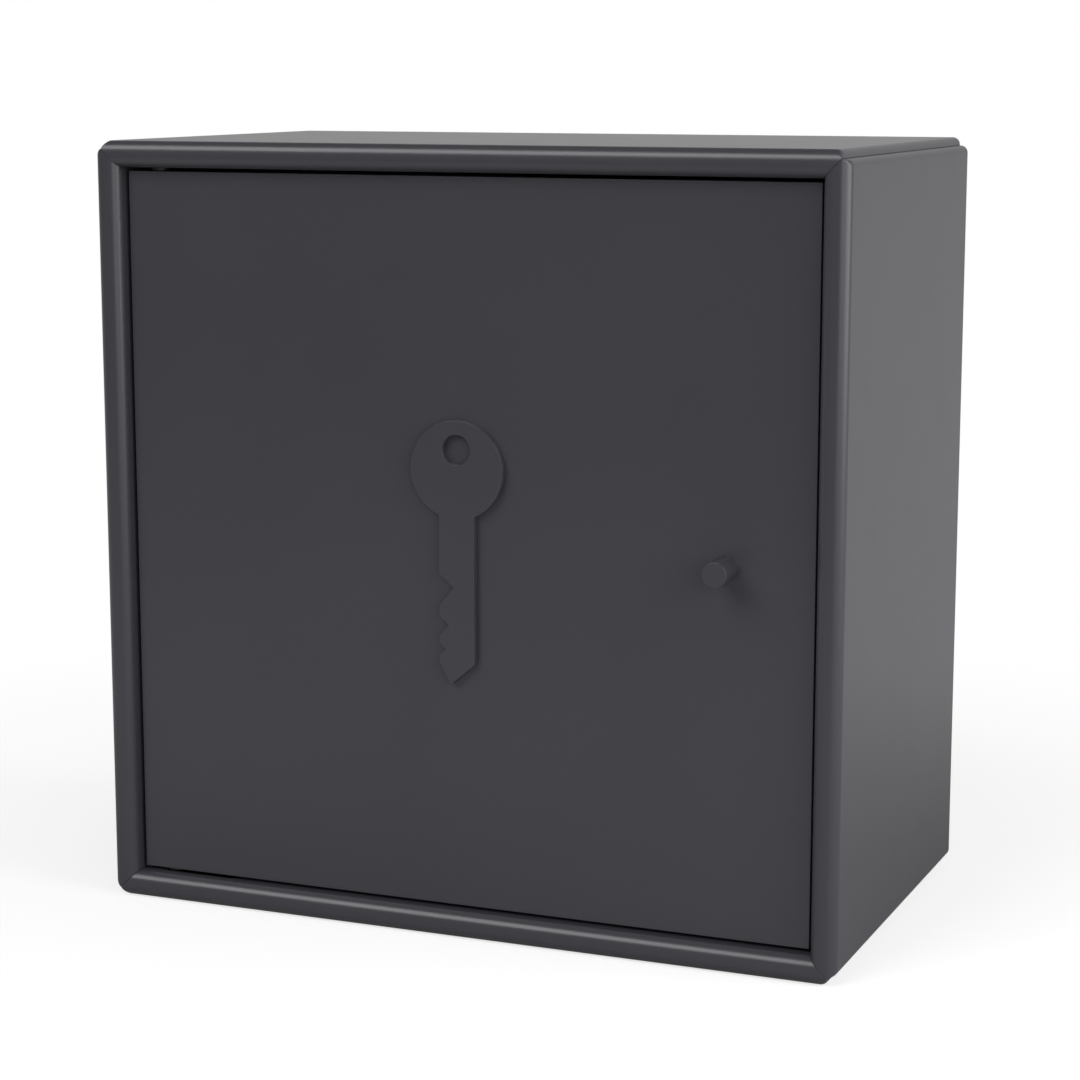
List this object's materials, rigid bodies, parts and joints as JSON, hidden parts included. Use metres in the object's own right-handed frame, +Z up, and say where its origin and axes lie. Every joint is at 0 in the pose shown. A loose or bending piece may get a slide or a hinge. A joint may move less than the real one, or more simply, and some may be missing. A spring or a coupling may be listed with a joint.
{
  "type": "key cabinet",
  "caption": "Square wall key cabinet: mitred lacquered box, inset hinged door with a key-shaped plate and peg knob, rails of key hooks inside.",
  "frame": {"origin": "middle of the underside, halfway between the carcass's front and rear planes", "axes": "+Z up, -Y out of the door, +Y towards the wall, +X to the knob's side"},
  "size_m": [0.354, 0.2088, 0.354],
  "materials": {
    "anthracite_lacquer": "satin lacquer on fibreboard",
    "raw_fibreboard": "raw board",
    "zinc_plated_steel": "zinc plated",
    "satin_nickel": "satin nickel plated",
    "ferrite": "matt ceramic magnet",
    "dark_plastic": "moulded, fine grain"
  },
  "bodies": {
    "carcass": {"back_panel": "anthracite_lacquer", "bottom_panel": "anthracite_lacquer", "catch_housing": "dark_plastic", "catch_magnet": "ferrite", "catch_pole_left": "zinc_plated_steel", "catch_pole_right": "zinc_plated_steel", "catch_screw_lower": "zinc_plated_steel", "catch_screw_upper": "zinc_plated_steel", "hanger_screw_left_lower": "zinc_plated_steel", "hanger_screw_left_upper": "zinc_plated_steel", "hanger_screw_right_lower": "zinc_plated_steel", "hanger_screw_right_upper": "zinc_plated_steel", "hinge_leaf_lower_carcass": "zinc_plated_steel", "hinge_leaf_lower_carcass_screw_1": "zinc_plated_steel", "hinge_leaf_lower_carcass_screw_2": "zinc_plated_steel", "hinge_leaf_upper_carcass": "zinc_plated_steel", "hinge_leaf_upper_carcass_screw_1": "zinc_plated_steel", "hinge_leaf_upper_carcass_screw_2": "zinc_plated_steel", "hook_rail_lower": "anthracite_lacquer", "hook_rail_upper": "anthracite_lacquer", "key_hook_lower_1": "satin_nickel", "key_hook_lower_2": "satin_nickel", "key_hook_lower_3": "satin_nickel", "key_hook_lower_4": "satin_nickel", "key_hook_lower_5": "satin_nickel", "key_hook_upper_1": "satin_nickel", "key_hook_upper_2": "satin_nickel", "key_hook_upper_3": "satin_nickel", "key_hook_upper_4": "satin_nickel", "key_hook_upper_5": "satin_nickel", "left_side_panel": "anthracite_lacquer", "mitre_tongue_bottom_left": "raw_fibreboard", "mitre_tongue_bottom_right": "raw_fibreboard", "mitre_tongue_top_left": "raw_fibreboard", "mitre_tongue_top_right": "raw_fibreboard", "pivot_pin_lower": "zinc_plated_steel", "pivot_pin_upper": "zinc_plated_steel", "pivot_washer_lower": "dark_plastic", "pivot_washer_upper": "dark_plastic", "rail_screw_lower_left": "zinc_plated_steel", "rail_screw_lower_right": "zinc_plated_steel", "rail_screw_upper_left": "zinc_plated_steel", "rail_screw_upper_right": "zinc_plated_steel", "right_side_panel": "anthracite_lacquer", "top_panel": "anthracite_lacquer", "wall_hanger_left": "zinc_plated_steel", "wall_hanger_right": "zinc_plated_steel"},
    "door": {"door_knob": "anthracite_lacquer", "door_panel": "anthracite_lacquer", "hinge_leaf_lower_door": "zinc_plated_steel", "hinge_leaf_lower_door_screw_1": "zinc_plated_steel", "hinge_leaf_lower_door_screw_2": "zinc_plated_steel", "hinge_leaf_upper_door": "zinc_plated_steel", "hinge_leaf_upper_door_screw_1": "zinc_plated_steel", "hinge_leaf_upper_door_screw_2": "zinc_plated_steel", "key_emblem": "anthracite_lacquer", "knob_screw": "zinc_plated_steel", "strike_plate": "zinc_plated_steel", "strike_screw": "zinc_plated_steel"}
  },
  "joints": [
    {"name": "door_hinge", "type": "hinge", "parent": "carcass", "child": "door", "pos_m": [-0.1501, -0.0866, 0.177], "axis": [0, 0, -1], "range_deg": [0, 110]}
  ]
}
